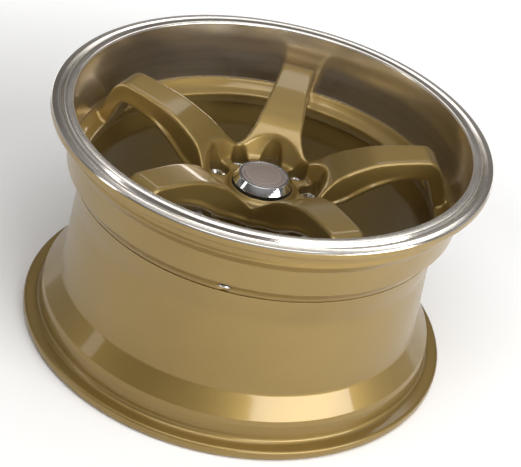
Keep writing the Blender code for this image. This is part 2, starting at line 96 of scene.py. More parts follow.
camera_data = bpy.data.cameras.new("camera")
camera_data.lens = LENS_MM
camera_data.sensor_fit = "HORIZONTAL"
camera_data.sensor_width = 36
camera = bpy.data.objects.new("camera", camera_data)
turn = Matrix((CAMERA_RIGHT, CAMERA_UP, CAMERA_BACK)).transposed().to_4x4()
camera.matrix_world = Matrix.Translation(CAMERA_AT) @ turn
SCENE.collection.objects.link(camera)
SCENE.camera = camera
print("camera stands", round(CAMERA_AT.length, 3), "m from the wheel's foot")

# %% [markdown]
# ## Sizes
#
# Turned parts are drawn as (radius, height) in millimetres. Heights are counted from the
# face plane, where the front flange is widest, because a wheel maker measures depth from
# there. The plane is read from the frame, and the other radii follow from the flange's.

# %% Sizes
FLANGE_CREST = 4.0
FLANGE_R = 248.5
FLANGE_HEIGHT = 17.5
BEAD_R = FLANGE_R - FLANGE_HEIGHT
rim_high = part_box("outer_rim_half")[1]
FACE = rim_high.z / MM - FLANGE_CREST
print("face plane at", round(FACE, 2), "mm, flange radius", round(rim_high.x / MM, 2), "mm")

# %% [markdown]
# ## Turning on a lathe
#
# Rims, seats and caps are turned parts, so each starts as an outline that is spun round the
# axis. A real lathe tool leaves no sharp corner. `filleted` therefore rounds each corner of
# the outline by its own radius before `turned` spins it. A corner is (r, z, radius). An open
# outline starts and ends on the axis, and needs no edge along it.

# %% Lathe helpers
def filleted(corners, closed=True, steps=5):
    """The outline with each corner cut back and replaced by a small arc."""
    made = []
    count = len(corners)
    for i, (r, z, radius) in enumerate(corners):
        here = Vector((r, z))
        if radius == 0 or (not closed and i in (0, count - 1)):
            made.append(here)
            continue
        before = Vector(corners[i - 1][:2]) - here
        after = Vector(corners[(i + 1) % count][:2]) - here
        half = before.angle(after) / 2
        reach = min(radius / tan(half), before.length * 0.48, after.length * 0.48)
        start = here + before.normalized() * reach
        end = here + after.normalized() * reach
        for k in range(steps + 1):
            t = k / steps
            made.append((1 - t) ** 2 * start + 2 * t * (1 - t) * here + t**2 * end)
    return made


def new_object(name, shape):
    """Turns a finished bmesh into an object of the scene."""
    mesh = bpy.data.meshes.new(name)
    shape.to_mesh(mesh)
    shape.free()
    made = bpy.data.objects.new(name, mesh)
    SCENE.collection.objects.link(made)
    return made


def turned(name, corners, steps=192, closed=True, place=None, fine=5):
    """Spins an outline round world Z, then moves the solid by place."""
    shape = bmesh.new()
    outline = filleted(corners, closed, fine)
    verts = [shape.verts.new((p.x * MM, 0, p.y * MM)) for p in outline]
    pairs = zip(verts, verts[1:] + verts[:1]) if closed else zip(verts, verts[1:])
    edges = [shape.edges.new(pair) for pair in pairs]
    bmesh.ops.spin(shape, geom=verts + edges, cent=(0, 0, 0), axis=(0, 0, 1),
                   angle=2 * pi, steps=steps, use_merge=True)
    bmesh.ops.remove_doubles(shape, verts=shape.verts, dist=1e-6)
    bmesh.ops.recalc_face_normals(shape, faces=shape.faces)
    if place:
        bmesh.ops.transform(shape, matrix=place, verts=shape.verts)
    return new_object(name, shape)


def smooth(made, sharp=38):
    """Shades a turned part smooth, but keeps its corners crisp."""
    made.data.shade_smooth()
    made.data.set_sharp_from_angle(angle=radians(sharp))
    return made


def at_face(corners):
    """Corners with heights from the face plane, as heights above the floor."""
    return [(r, z + FACE, radius) for r, z, radius in corners]


print("lathe ready")

# %% [markdown]
# ## The outer rim half
#
# The polished lip is what makes the wheel look deep: a nearly straight wall, a rolled front
# flange with a thin groove in it, and behind them the bead seat and its safety hump. It is
# one closed outline, so the thickness at every point is the real one.

# %% Outer rim half
LIP_TOP_R = BEAD_R - 6.9
LIP_LOW_R = BEAD_R - 13.5
LIP_DEPTH = 66.2
BAND_LOW_R = BEAD_R - 8.4
BAND_LOW = -70.4
FLANGE_IN = -9.0

outer_corners = [
    (LIP_TOP_R, 3.9, 2.6),
    (BEAD_R + 2.5, 3.9, 1.6),
    (BEAD_R + 4.4, 0.6, 0.6),
    (BEAD_R + 5.3, -0.5, 0.5),
    (BEAD_R + 6.4, 1.2, 0.6),
    (BEAD_R + 10.0, 2.0, 4.0),
    (FLANGE_R - 1.6, 1.3, 1.0),
    (FLANGE_R - 0.05, -0.6, 1.0),
    (FLANGE_R - 0.05, FLANGE_IN, 8.2),
    (BEAD_R, FLANGE_IN, 6.4),
    (BEAD_R - 0.9, -25.5, 3.0),
    (BEAD_R + 0.5, -29.4, 2.4),
    (BEAD_R - 2.2, -33.6, 3.0),
    (BEAD_R - 6.0, -40.0, 8.0),
    (BAND_LOW_R, BAND_LOW, 0.9),
    (LIP_LOW_R, BAND_LOW, 0.2),
    (LIP_LOW_R, -LIP_DEPTH, 0.2),
    (LIP_LOW_R + 0.1, -LIP_DEPTH + 1.0, 0.2),
]
outer_rim = smooth(turned("outer_rim", at_face(outer_corners)))
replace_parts(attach(outer_rim, "wheel"), "outer_rim_half")
print("outer rim has", len(outer_rim.data.polygons), "faces")

# %% [markdown]
# ## The inner rim half
#
# Behind the step the barrel drops into a shallow well, opens slowly, and ends in a cone
# that lifts the inboard bead to its seat. The same lathe helper draws it.

# %% Inner rim half
RING_LOW = -88.0
GAP = 0.3
WELL_FLOOR = -121.0
CONE_TOP = -216.0
CONE_FOOT = -237.2
FOOT = -276.4
FOOT_FLANGE = -263.4
WELL_TOP_R = BEAD_R - 19.5
WELL_FLOOR_R = BEAD_R - 25.7
WELL_LOW_R = BEAD_R - 20.7
CONE_FOOT_R = BEAD_R - 3.4
WALL = 6.0
SPIGOT_R = WELL_TOP_R - 5.3

inner_corners = [
    (WELL_TOP_R, RING_LOW - GAP, 0.5),
    (WELL_FLOOR_R, WELL_FLOOR, 60.0),
    (WELL_LOW_R, CONE_TOP + 1.0, 7.0),
    (CONE_FOOT_R + 0.7, CONE_FOOT, 2.2),
    (BEAD_R - 1.2, -243.4, 3.0),
    (BEAD_R, FOOT_FLANGE, 6.4),
    (FLANGE_R - 0.05, FOOT_FLANGE, 8.2),
    (FLANGE_R - 0.05, -271.8, 1.2),
    (FLANGE_R - 1.6, FOOT + 1.4, 1.2),
    (FLANGE_R - 4.2, FOOT, 1.5),
    (BEAD_R + 2.0, FOOT, 1.5),
    (BEAD_R - 4.0, FOOT + 5.0, 6.0),
    (BEAD_R - WALL, FOOT + 16.0, 6.0),
    (CONE_FOOT_R - WALL + 0.6, CONE_FOOT - 5.0, 5.0),
    (WELL_LOW_R - WALL + 0.3, CONE_TOP - 1.5, 8.0),
    (WELL_FLOOR_R - WALL, WELL_FLOOR, 30.0),
    (SPIGOT_R + GAP, RING_LOW - 7.5, 3.0),
    (SPIGOT_R + GAP, RING_LOW - GAP, 0.4),
]
inner_rim = smooth(turned("inner_rim", at_face(inner_corners)))
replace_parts(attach(inner_rim, "wheel"), "inner_rim_half")
print("inner rim has", len(inner_rim.data.polygons), "faces")

# %% [markdown]
# ## The forged centre: its spokes
#
# A spoke runs out from the hub, rises, and hooks down onto the ring. It is drawn as
# sections across the run: each has a flat face with rounded edges, flat sides and a ledge
# near its back. `bridge_loops` skins one section to the next. The front and the back of the
# spoke each follow their own smooth path, so the spoke can be deep at the hub and slim at
# the hook.

# %% Spoke paths
SPOKES = 5
SECTOR = 2 * pi / SPOKES
HALF_SECTOR = SECTOR / 2
WINDOW_APEX = 71.3
WINDOW_R = 37.8
SPLIT_OUT = WINDOW_APEX * cos(HALF_SECTOR)
STRAIGHT_FROM = (WINDOW_APEX + WINDOW_R) * cos(HALF_SECTOR)
FRONT_PATH = (
    (36, -84.0), (48, -77.0), (SPLIT_OUT, -68.6), (60.5, -65.9), (64.5, -61.9),
    (69.5, -56.6), (77, -49.6), (STRAIGHT_FROM, -42.5), (98, -37.9), (108, -33.5),
    (120, -29.3), (134, -26.1), (151.5, -23.4), (169, -21.4), (181.4, -20.6),
    (187.4, -22.3), (193.0, -26.9), (198.0, -34.0), (202.6, -45.0), (206.4, -56.0),
    (209.4, -65.5), (212.4, -77.0),
)
BACK_PATH = (
    (36, -100.0), (48, -96.6), (SPLIT_OUT, -93.2), (60.5, -92.3), (64.5, -91.0),
    (69.5, -89.3), (77, -86.6), (STRAIGHT_FROM, -82.0), (98, -76.4), (107, -69.8),
    (118, -62.9), (131, -56.6), (146, -51.3), (162, -47.2), (173.5, -45.2),
    (177.8, -45.0), (181.0, -45.9), (183.6, -48.2), (186.4, -53.2), (190.2, -62.4),
    (193.6, -71.2), (202.0, -84.6),
)
SIDE_LINE = ((STRAIGHT_FROM, 26.3), (99.4, 24.1), (124.3, 21.6), (149, 20.2), (174, 19.6))
BETWEEN = 4


def curved(points):
    """A Catmull-Rom curve through the points, with BETWEEN steps from each to the next."""
    ends = [Vector(points[0])] + [Vector(p) for p in points] + [Vector(points[-1])]
    made = []
    for a, b, c, d in zip(ends, ends[1:], ends[2:], ends[3:]):
        for k in range(BETWEEN):
            t = k / BETWEEN
            made.append(0.5 * (2 * b + (c - a) * t + (2 * a - 5 * b + 4 * c - d) * t**2
                               + (3 * b - a - 3 * c + d) * t**3))
    return made + [ends[-1]]


def between(points, at):
    """Straight-line value at a distance out, held at both ends."""
    for (x0, y0), (x1, y1) in zip(points, points[1:]):
        if at <= x1:
            return y0 + (y1 - y0) * max(0.0, at - x0) / (x1 - x0)
    return points[-1][1]


front_line = curved(FRONT_PATH)
back_line = curved(BACK_PATH)
print("spoke drawn with", len(front_line), "sections")

# %% [markdown]
# The sections get their half width from three rules: in the hub a spoke reaches just past
# the plane half-way to its neighbour, so the five overlap and can be joined; then it
# follows the round end of the window; then it tapers along its straight sides.

# %% One spoke
EDGE_R = 2.2
EDGE_STEPS = 4
DRAFT = 0.35
LEDGE_DEPTH = 7.5
LEDGE_OUT = 2.6
LEDGE_FADE = ((120.0, 1.0), (168.0, 0.0))
OVERLAP = 1.5


def half_width(out):
    """Half of a spoke's width at a distance out from the axis."""
    if out < SPLIT_OUT:
        return out * tan(HALF_SECTOR) + OVERLAP
    if out < STRAIGHT_FROM:
        drop = sqrt(max(0.0, WINDOW_R**2 - (STRAIGHT_FROM - out) ** 2))
        return (WINDOW_APEX + WINDOW_R) * sin(HALF_SECTOR) - drop
    return between(SIDE_LINE, out)


def spoke_side(half, depth, out):
    """Half a section as (across, down) pairs, from its face to its back."""
    ledge = LEDGE_OUT * between(LEDGE_FADE, out)
    turns = [pi / 2 * k / EDGE_STEPS for k in range(EDGE_STEPS + 1)]
    edge = [(half - EDGE_R + EDGE_R * sin(a), EDGE_R - EDGE_R * cos(a)) for a in turns]
    foot = half + DRAFT
    return edge + [
        (foot, depth - LEDGE_DEPTH),
        (foot + ledge * 0.8, depth - LEDGE_DEPTH + 0.6),
        (foot + ledge, depth - LEDGE_DEPTH + 1.6),
        (foot + ledge, depth - 1.8),
        (foot + ledge - 1.8, depth),
    ]


def spoke_shape(turn_by):
    """One whole spoke, skinned from the hub to the ring and turned to its place."""
    shape = bmesh.new()
    loops = []
    for front, back in zip(front_line, back_line):
        start = Vector((front.x, 0, front.y))
        way = Vector((back.x, 0, back.y)) - start
        depth = way.length
        way.normalize()
        side = spoke_side(half_width(front.x), depth, front.x)
        ring = [start + way * down + Vector((0, across, 0)) for across, down in side]
        ring += [start + way * down - Vector((0, across, 0)) for across, down in reversed(side)]
        verts = [shape.verts.new((p + Vector((0, 0, FACE))) * MM) for p in ring]
        loops.append([shape.edges.new(pair) for pair in zip(verts, verts[1:] + verts[:1])])
    for first, second in zip(loops, loops[1:]):
        bmesh.ops.bridge_loops(shape, edges=first + second)
    bmesh.ops.contextual_create(shape, geom=loops[0])
    bmesh.ops.contextual_create(shape, geom=loops[-1])
    bmesh.ops.recalc_face_normals(shape, faces=shape.faces)
    bmesh.ops.rotate(shape, cent=(0, 0, 0), verts=shape.verts,
                     matrix=Matrix.Rotation(radians(90) + turn_by, 3, "Z"))
    return shape


spokes = [new_object(f"spoke_{i + 1}", spoke_shape(i * SECTOR)) for i in range(SPOKES)]
print("one spoke has", len(spokes[0].data.polygons), "faces")

# %% [markdown]
# ## The forged centre: ring, hub and cuts
#
# The ring is turned. The hub starts as a thick disc and is then machined: a round recess
# with a collar for the cap, the bore, ten nut pockets and the valve's hole. Booleans do the
# machining, as mills and drills do on the real forging.

# %% Ring and hub
PAD = -116.2
LUG_CIRCLE_R = 57.15
FLOOR = -84.7
COLLAR_TOP = -79.7
CAP_BORE_R = 34.2
RING_IN_R = SPIGOT_R - 6.8

ring_corners = [
    (LIP_LOW_R - GAP, -LIP_DEPTH - 0.4, 0.3),
    (LIP_LOW_R - GAP, BAND_LOW - GAP, 0.1),
    (BAND_LOW_R - 0.5, BAND_LOW - GAP, 0.8),
    (WELL_TOP_R + 3.0, -80.2, 4.0),
    (WELL_TOP_R + 0.1, RING_LOW, 0.4),
    (SPIGOT_R, RING_LOW, 0.1),
    (SPIGOT_R, RING_LOW - 5.5, 0.5),
    (RING_IN_R, RING_LOW - 5.5, 1.6),
    (RING_IN_R, -80.6, 3.2),
    (LIP_LOW_R - 9.0, -76.2, 4.0),
    (LIP_LOW_R - 4.3, -71.0, 3.0),
    (LIP_LOW_R - 1.6, -67.2, 1.0),
]
hub_corners = [
    (0, -76.0, 0), (60.0, -76.0, 2), (68.5, -90.1, 2), (68.0, PAD, 1.6), (0, PAD, 0),
]
ring = turned("ring", at_face(ring_corners), steps=240)
hub = turned("hub", at_face(hub_corners), steps=96, closed=False)
print("ring and hub turned")

# %% [markdown]
# Each cutter is a turned solid in the shape of the metal that the tool takes away. The lug
# pockets come in two kinds, wide ones in line with the spokes and narrow ones between them.
# The valve needs a hole with a spot face, and a small boss for its nut to bear on.

# %% Cutters
recess_corners = [
    (0, -20.0, 0), (84.0, -20.0, 0), (69.6, -59.5, 0), (61.0, FLOOR, 6.0),
    (CAP_BORE_R + 6.4, FLOOR, 3.5), (CAP_BORE_R + 2.0, COLLAR_TOP, 0.9),
    (CAP_BORE_R - 4.0, COLLAR_TOP, 0), (0, COLLAR_TOP, 0),
]
bore_corners = [
    (0, COLLAR_TOP + 10, 0), (CAP_BORE_R + 0.9, COLLAR_TOP + 10, 0),
    (CAP_BORE_R + 0.9, COLLAR_TOP + 0.01, 0.1), (CAP_BORE_R, COLLAR_TOP - 0.9, 0.4),
    (CAP_BORE_R, -87.0, 0), (CAP_BORE_R + 2.35, -88.5, 0),
    (CAP_BORE_R + 2.35, PAD + 1.2, 0), (CAP_BORE_R + 4.6, PAD - 1.0, 0), (0, PAD - 1, 0),
]
LUGS = (("spoke", 12.7, 90.0), ("web", 10.4, 54.0))
POCKET_TOP = -14.0
SEAT_TOP = -95.0
SEAT_LOW = -107.0
STUD_R = 7.2
STUD_PASSAGE_R = STUD_R + 0.6


def lug_places():
    """Each lug's node name, its pocket's radius and its place on the lug circle."""
    for kind, pocket_r, first in LUGS:
        for i in range(SPOKES):
            angle = radians(first) + i * SECTOR
            at = Vector((cos(angle), sin(angle), 0)) * LUG_CIRCLE_R * MM
            yield f"lug_seat_{kind}_{i + 1}", pocket_r, Matrix.Translation(at)


VALVE_TILT = radians(30)
VALVE_HOLE_R = 4.25
SPOT_FACE_R = 7.2
SPOT_FACE = -1.2
BOSS_R = 7.0
BOSS_TOP = 5.0
VALVE_AT = Vector((0, 5.4 - LIP_LOW_R, FACE - 76.0)) * MM
VALVE_PLACE = Matrix.Translation(VALVE_AT) @ Matrix.Rotation(-VALVE_TILT, 4, "X")

cuts = [
    turned("recess_cut", at_face(recess_corners), 96, closed=False),
    turned("bore_cut", at_face(bore_corners), 90, closed=False),
]
for name, pocket_r, place in lug_places():
    corners = [
        (0, POCKET_TOP, 0), (pocket_r, POCKET_TOP, 0), (pocket_r, SEAT_LOW - GAP, 0),
        (STUD_PASSAGE_R, SEAT_LOW - GAP, 0), (STUD_PASSAGE_R, PAD - 1, 0), (0, PAD - 1, 0),
    ]
    cuts.append(turned(name + "_cut", at_face(corners), 40, closed=False, place=place))
hole_corners = [
    (0, 20, 0), (VALVE_HOLE_R, 20, 0), (VALVE_HOLE_R, SPOT_FACE, 0),
    (SPOT_FACE_R, SPOT_FACE, 0), (SPOT_FACE_R, -30, 0), (0, -30, 0),
]
cuts.append(turned("valve_cut", hole_corners, 40, closed=False, place=VALVE_PLACE))
boss_corners = [(0, BOSS_TOP, 0), (BOSS_R, BOSS_TOP, 0.6), (BOSS_R, 0, 0), (0, 0, 0)]
boss = turned("valve_boss", boss_corners, 40, closed=False, place=VALVE_PLACE)
print(len(cuts), "cutters")

# %% [markdown]
# The joined body then gets the soft edges of a forging that was blasted and painted. A
# voxel remesh turns everything into an even skin, and a short smoothing rounds each edge
# and fills each inside corner by a millimetre or two, which Bevel can't do on the crowded
# edges that Booleans leave.

# %% Join, cut and soften
VOXEL = 1.6
SOFTEN = 6


def group_of(name, members):
    """Moves the members into a collection of their own, which a Boolean can use at once."""
    made = bpy.data.collections.new(name)
    SCENE.collection.children.link(made)
    for member in members:
        made.objects.link(member)
        SCENE.collection.objects.unlink(member)
    return made


def machine(target, operation, tools):
    """Adds an exact Boolean with every tool of a collection."""
    step = target.modifiers.new(operation, "BOOLEAN")
    step.operation = operation
    step.operand_type = "COLLECTION"
    step.solver = "EXACT"
    step.collection = tools


def settled(made):
    """Replaces the mesh by what its modifiers make of it."""
    bpy.context.view_layer.update()
    graph = bpy.context.evaluated_depsgraph_get()
    mesh = bpy.data.meshes.new_from_object(made.evaluated_get(graph))
    made.modifiers.clear()
    made.data = mesh
    return made


joined = group_of("joined", spokes + [ring, boss])
removed = group_of("removed", cuts)
machine(hub, "UNION", joined)
machine(hub, "DIFFERENCE", removed)
settled(hub)
print("machined centre has", len(hub.data.polygons), "faces")

remesh = hub.modifiers.new("skin", "REMESH")
remesh.mode = "VOXEL"
remesh.voxel_size = VOXEL * MM
soften = hub.modifiers.new("soften", "SMOOTH")
soften.factor = 0.5
soften.iterations = SOFTEN
settled(hub)
hub.name = "centre"
hub.data.shade_smooth()
for tools in (joined, removed):
    for tool in list(tools.objects):
        bpy.data.objects.remove(tool)
    bpy.data.collections.remove(tools)
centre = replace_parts(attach(hub, "wheel"), "forged_centre")
print("softened centre has", len(centre.data.polygons), "faces")

# %% [markdown]
# ## Nut seats
#
# Ten bare seats are pressed into the pockets, each with a 60 degree cone for its nut.
# They are turned anew with more steps than the frame's, because their cones catch the light
# as thin bright crescents.

# %% Nut seats
for name, pocket_r, place in lug_places():
    outer_r = pocket_r - GAP
    mouth = outer_r - 1.2
    cone = (mouth - STUD_R) * sqrt(3)
    corners = [
        (mouth, SEAT_TOP, 0.3), (outer_r, SEAT_TOP, 0.4), (outer_r, SEAT_LOW, 0.2),
        (STUD_R, SEAT_LOW, 0.2), (STUD_R, SEAT_TOP - cone, 0.6),
    ]
    seat = smooth(turned(name.replace("lug_seat", "nut_seat"), at_face(corners), 64, place=place))
    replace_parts(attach(seat, "wheel"), name)
print("ten nut seats")

# %% [markdown]
# ## The centre cap
#
# The cap is a bright bevelled cup that snaps into the hub. Its flat plate carries only a
# plain engraved ring here. Under the bevel is a knurled rim for fingers and tools: a ring
# whose every other vertex is pulled in, so that the light breaks into fine stripes.

# %% Cap
CAP_TOP = -67.8
CAP_FLANGE_R = CAP_BORE_R + 0.4
CAP_TOP_R = CAP_FLANGE_R - 5.8
BADGE_R = CAP_TOP_R - 2.8
SKIRT_R = CAP_BORE_R - 0.5
SKIRT_IN = SKIRT_R - 3.4
SNAP_HEIGHT = -90.5
KNURLS = 90
KNURL_DEPTH = 0.012
KNURL_LOW = -77.25
KNURL_HEIGHT = 1.0

cap_corners = [
    (0, CAP_TOP - 1.6, 0), (BADGE_R + 0.25, CAP_TOP - 1.6, 0), (BADGE_R + 0.25, CAP_TOP, 0.25),
    (CAP_TOP_R, CAP_TOP - 0.02, 0.5), (CAP_FLANGE_R - 0.1, -75.6, 0.5),
    (CAP_FLANGE_R - 0.1, -76.1, 0.1), (SKIRT_R - 1.2, -76.1, 0), (SKIRT_R - 1.2, -79.9, 0),
    (SKIRT_R, -80.9, 0.3), (SKIRT_R, SNAP_HEIGHT + 1.2, 0), (SKIRT_R - 0.9, SNAP_HEIGHT + 1.2, 0),
    (SKIRT_R - 0.9, SNAP_HEIGHT - 1.2, 0), (SKIRT_R, SNAP_HEIGHT - 1.2, 0), (SKIRT_R, -95.0, 1.0),
    (SKIRT_IN, -95.0, 0.6), (SKIRT_IN, CAP_TOP - 5.6, 0), (SKIRT_IN - 2, CAP_TOP - 4, 0),
    (0, CAP_TOP - 4.0, 0),
]
cap = smooth(turned("cap", at_face(cap_corners), 128, closed=False))
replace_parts(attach(cap, "centre_cap"), "cap_body")

knurl_shape = bmesh.new()
circle = bmesh.ops.create_circle(knurl_shape, segments=KNURLS * 2, radius=(CAP_FLANGE_R - 0.05) * MM)
for i, vert in enumerate(circle["verts"]):
    vert.co *= 1 - KNURL_DEPTH * (i % 2)
bmesh.ops.create_circle(knurl_shape, segments=KNURLS * 2, radius=(SKIRT_R - 1.1) * MM)
bmesh.ops.bridge_loops(knurl_shape, edges=knurl_shape.edges[:])
top = bmesh.ops.extrude_face_region(knurl_shape, geom=knurl_shape.faces[:])
lifted = [v for v in top["geom"] if isinstance(v, bmesh.types.BMVert)]
bmesh.ops.translate(knurl_shape, vec=(0, 0, KNURL_HEIGHT * MM), verts=lifted)
bmesh.ops.translate(knurl_shape, vec=(0, 0, (FACE + KNURL_LOW) * MM), verts=knurl_shape.verts)
bmesh.ops.recalc_face_normals(knurl_shape, faces=knurl_shape.faces)
knurl = new_object("cap_knurl", knurl_shape)
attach(knurl, "centre_cap")

badge_corners = [
    (0, CAP_TOP - 0.12, 0), (BADGE_R - 4.4, CAP_TOP - 0.12, 0.1), (BADGE_R - 4.0, CAP_TOP - 0.32, 0.1),
    (BADGE_R - 3.6, CAP_TOP - 0.12, 0.1), (BADGE_R - 0.1, CAP_TOP - 0.12, 0.3),
    (BADGE_R - 0.1, CAP_TOP - 1.3, 0), (0, CAP_TOP - 1.3, 0),
]
badge = smooth(turned("cap_plate", at_face(badge_corners), 128, closed=False))
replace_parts(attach(badge, "centre_cap"), "cap_badge")
print("cap with", KNURLS, "knurls")

# %% [markdown]
# ## The valve
#
# A clamp-in valve stands between two spokes. Its stem has a real thread above the nut, its
# dust cap has ribs to grip, and its nut is a hexagon with chamfered corners. Each is turned
# along its own axis and then tilted into place.

# %% Valve stem, nut and dust cap
STEM_R = 3.85
STEM_TOP = 30.0
THREAD_PITCH = 0.794
THREAD_FROM = 14.0
HEAD_TOP = -3.1
NUT_LOW = 8.8
NUT_HIGH = 14.0
NUT_R = 6.88
NUT_HOLE_R = 4.15
CAP_RIBS = 24
RIB_DEPTH = 0.06

stem_corners = [(2.4, HEAD_TOP - 2.2, 0.2), (2.4, STEM_TOP, 0.2), (STEM_R - 0.4, STEM_TOP, 0.1)]
height = STEM_TOP - 0.5
while height > THREAD_FROM:
    stem_corners += [(STEM_R - 0.02, height, 0.08), (STEM_R - 0.45, height - THREAD_PITCH / 2, 0.08)]
    height -= THREAD_PITCH
stem_corners += [
    (STEM_R - 0.02, height, 0.1), (STEM_R - 0.02, HEAD_TOP, 0.2),
    (6.5, HEAD_TOP, 0.5), (6.5, HEAD_TOP - 2.2, 0.9),
]
stem = smooth(turned("valve_body", stem_corners, 48, place=VALVE_PLACE, fine=2))
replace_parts(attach(stem, "wheel"), "valve_stem")

nut_shape = bmesh.new()
bmesh.ops.create_circle(nut_shape, segments=6, radius=NUT_R * MM)
bmesh.ops.create_circle(nut_shape, segments=36, radius=NUT_HOLE_R * MM)
bmesh.ops.bridge_loops(nut_shape, edges=nut_shape.edges[:])
nut_top = bmesh.ops.extrude_face_region(nut_shape, geom=nut_shape.faces[:])
raised_verts = [v for v in nut_top["geom"] if isinstance(v, bmesh.types.BMVert)]
bmesh.ops.translate(nut_shape, vec=(0, 0, (NUT_HIGH - NUT_LOW) * MM), verts=raised_verts)
bmesh.ops.translate(nut_shape, vec=(0, 0, NUT_LOW * MM), verts=nut_shape.verts)
bmesh.ops.recalc_face_normals(nut_shape, faces=nut_shape.faces)
rim_edges = [e for e in nut_shape.edges if min(v.co.xy.length for v in e.verts) > 5 * MM]
bmesh.ops.bevel(nut_shape, geom=rim_edges, offset=0.4 * MM, offset_type="OFFSET", segments=2,
                profile=0.5, affect="EDGES", material=-1)
bmesh.ops.transform(nut_shape, matrix=VALVE_PLACE, verts=nut_shape.verts)
nut = new_object("valve_hex", nut_shape)
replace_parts(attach(nut, "wheel"), "valve_nut")

dust_corners = [
    (0, 33.2, 0), (4.15, 33.2, 0.9), (5.0, 32.2, 0.6), (5.05, 14.7, 0.3), (4.15, 14.7, 0),
    (4.15, 31.6, 0), (0, 31.6, 0),
]
dust_cap = turned("dust_cap_ribbed", dust_corners, CAP_RIBS * 4, closed=False)
for vert in dust_cap.data.vertices:
    radius = Vector(vert.co.xy).length
    step = round((Vector((1, 0)).angle_signed(vert.co.xy, 0.0) / (2 * pi)) * CAP_RIBS * 4)
    if radius > 4.6 * MM and vert.co.z < 31.0 * MM and step % 4 < 2:
        vert.co.xy *= 1 - RIB_DEPTH
dust_cap.data.transform(VALVE_PLACE)
smooth(dust_cap, 30)
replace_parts(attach(dust_cap, "dust_cap"), "dust_cap")
print("valve thread starts at", round(height, 2), "mm up the stem")

# %% [markdown]
# ## Shared effects
#
# Three effects are used by several finishes, so each is a node group that is built once.
# Sprayed paint has flakes, a faint orange peel and slow thickness changes. A lathe leaves
# fine rings: their coordinate is radius plus height, so they follow a flat flange and an
# upright wall alike. Handling leaves faint smears. Each group reads Object coordinates and
# gives out only values.

# %% Node groups
def node_group(name, inputs, outputs):
    """An empty group with float sockets, and its two end nodes."""
    tree = bpy.data.node_groups.new(name, "ShaderNodeTree")
    for label, value in inputs:
        socket = tree.interface.new_socket(name=label, in_out="INPUT", socket_type="NodeSocketFloat")
        socket.default_value = value
    for label in outputs:
        tree.interface.new_socket(name=label, in_out="OUTPUT", socket_type="NodeSocketFloat")
    return tree, tree.nodes.new("NodeGroupInput"), tree.nodes.new("NodeGroupOutput")


def put(tree, kind, **settings):
    """A new node with its settings."""
    node = tree.nodes.new(kind)
    for key, value in settings.items():
        setattr(node, key, value)
    return node


def noise(tree, vector, scale, detail=2.0, dimensions="3D"):
    """A noise pattern read at a vector, or at one number when it is 1D."""
    node = put(tree, "ShaderNodeTexNoise", noise_dimensions=dimensions)
    node.inputs["Detail"].default_value = detail
    if dimensions == "1D":
        tree.links.new(vector, node.inputs["W"])
    else:
        tree.links.new(vector, node.inputs["Vector"])
    if isinstance(scale, (int, float)):
        node.inputs["Scale"].default_value = scale
    else:
        tree.links.new(scale, node.inputs["Scale"])
    return node.outputs["Fac"]


sprayed, spray_in, spray_out = node_group(
    "sprayed_paint", (("Flake Scale", 2600.0), ("Peel Scale", 260.0), ("Patch Scale", 9.0)),
    ("Flake", "Peel", "Patch"))
where = put(sprayed, "ShaderNodeTexCoord").outputs["Object"]
for label, detail in (("Flake", 0.0), ("Peel", 1.0), ("Patch", 3.0)):
    fac = noise(sprayed, where, spray_in.outputs[label + " Scale"], detail)
    sprayed.links.new(fac, spray_out.inputs[label])

lathe, lathe_in, lathe_out = node_group(
    "lathe_rings", (("Ring Scale", 900.0), ("Band Scale", 60.0)), ("Rings", "Bands"))
where = put(lathe, "ShaderNodeTexCoord").outputs["Object"]
split = put(lathe, "ShaderNodeSeparateXYZ")
flat = put(lathe, "ShaderNodeVectorMath", operation="MULTIPLY")
flat.inputs[1].default_value = (1, 1, 0)
length = put(lathe, "ShaderNodeVectorMath", operation="LENGTH")
along = put(lathe, "ShaderNodeMath", operation="ADD")
lathe.links.new(where, split.inputs[0])
lathe.links.new(where, flat.inputs[0])
lathe.links.new(flat.outputs[0], length.inputs[0])
lathe.links.new(length.outputs["Value"], along.inputs[0])
lathe.links.new(split.outputs["Z"], along.inputs[1])
lathe.links.new(noise(lathe, along.outputs[0], lathe_in.outputs["Ring Scale"], 3.0, "1D"),
                lathe_out.inputs["Rings"])
lathe.links.new(noise(lathe, along.outputs[0], lathe_in.outputs["Band Scale"], 1.0, "1D"),
                lathe_out.inputs["Bands"])

handled, handled_in, handled_out = node_group(
    "handling_smears", (("Smear Scale", 14.0), ("Speck Scale", 420.0)), ("Smear", "Specks"))
where = put(handled, "ShaderNodeTexCoord").outputs["Object"]
stretch = put(handled, "ShaderNodeMapping")
stretch.inputs["Scale"].default_value = (1.0, 1.0, 0.3)
handled.links.new(where, stretch.inputs["Vector"])
handled.links.new(noise(handled, stretch.outputs[0], handled_in.outputs["Smear Scale"], 5.0),
                  handled_out.inputs["Smear"])
handled.links.new(noise(handled, where, handled_in.outputs["Speck Scale"], 1.0),
                  handled_out.inputs["Specks"])
print("node groups", [g.name for g in bpy.data.node_groups])

# %% [markdown]
# ## Finishes
#
# A finish is a Principled shader whose colour, roughness and bump are driven by those
# effects. `ranged` turns a 0 to 1 pattern into the range a socket needs, and `shaded` mixes
# two colours by it. The shader's plain numbers, such as its coat, are set on its sockets.

